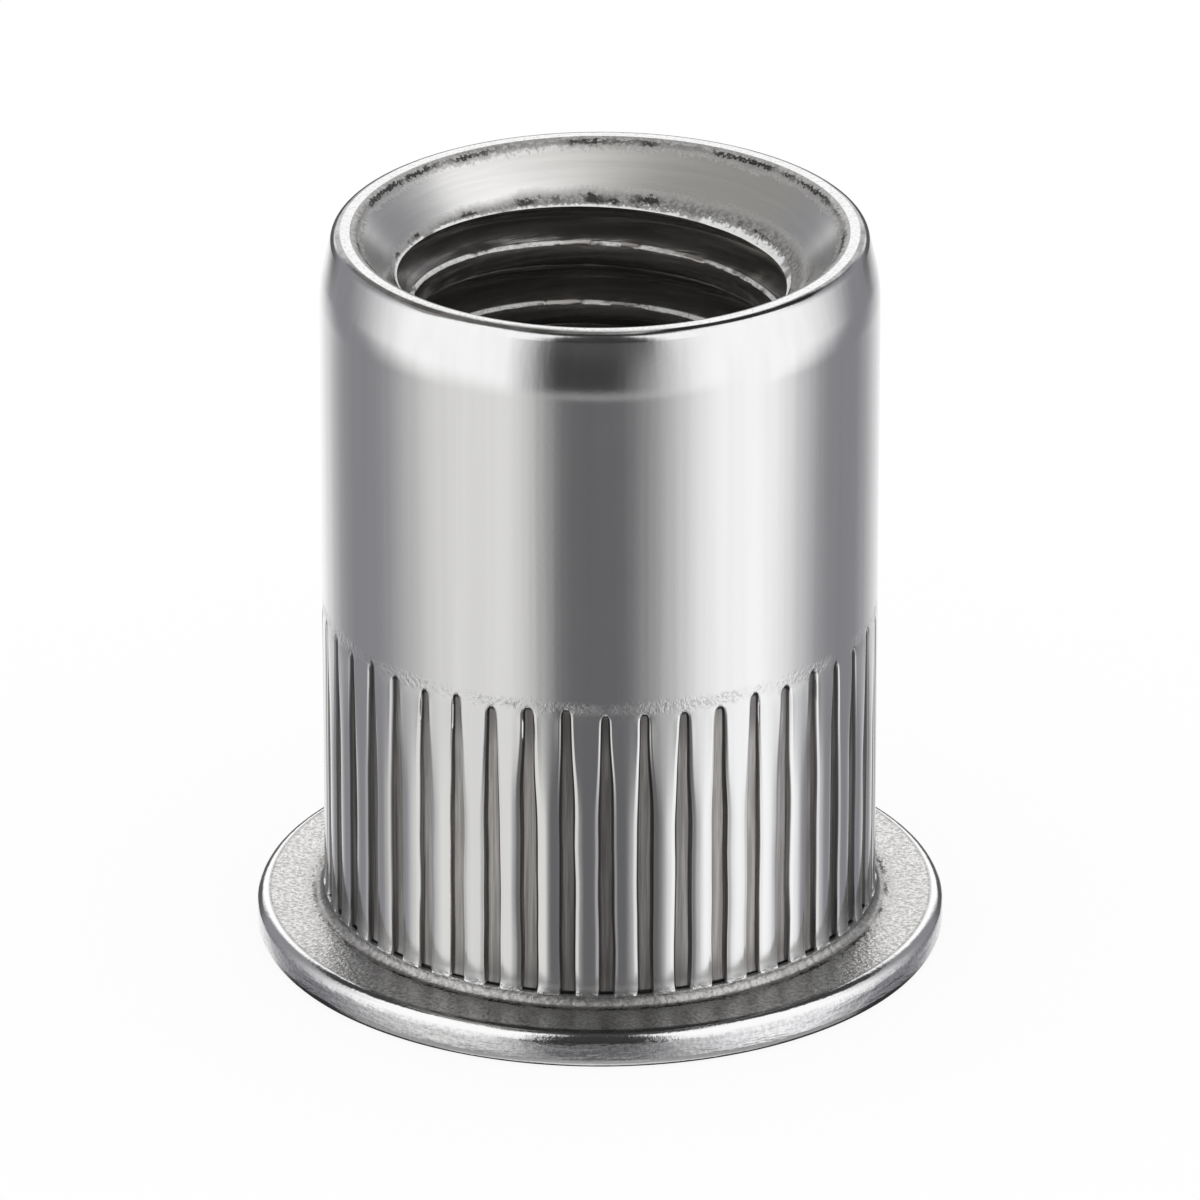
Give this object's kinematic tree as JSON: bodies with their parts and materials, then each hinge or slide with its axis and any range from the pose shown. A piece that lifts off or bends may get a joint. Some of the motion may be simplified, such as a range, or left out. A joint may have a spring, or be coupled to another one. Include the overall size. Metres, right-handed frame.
{
  "type": "rivet nut",
  "caption": "Knurled open-end rivet nut with a low flat flange, a plain shouldered barrel and a countersunk threaded bore.",
  "frame": {"origin": "centre of the flange's outer face, on the nut's axis", "axes": "+Z along the nut's axis, from the flange towards the threaded end, which goes through the sheet first"},
  "size_m": [0.0162, 0.016, 0.0175],
  "materials": {
    "stainless": "bright rolled and turned stainless steel"
  },
  "bodies": {
    "root": {"nut_body": "stainless"}
  },
  "joints": []
}
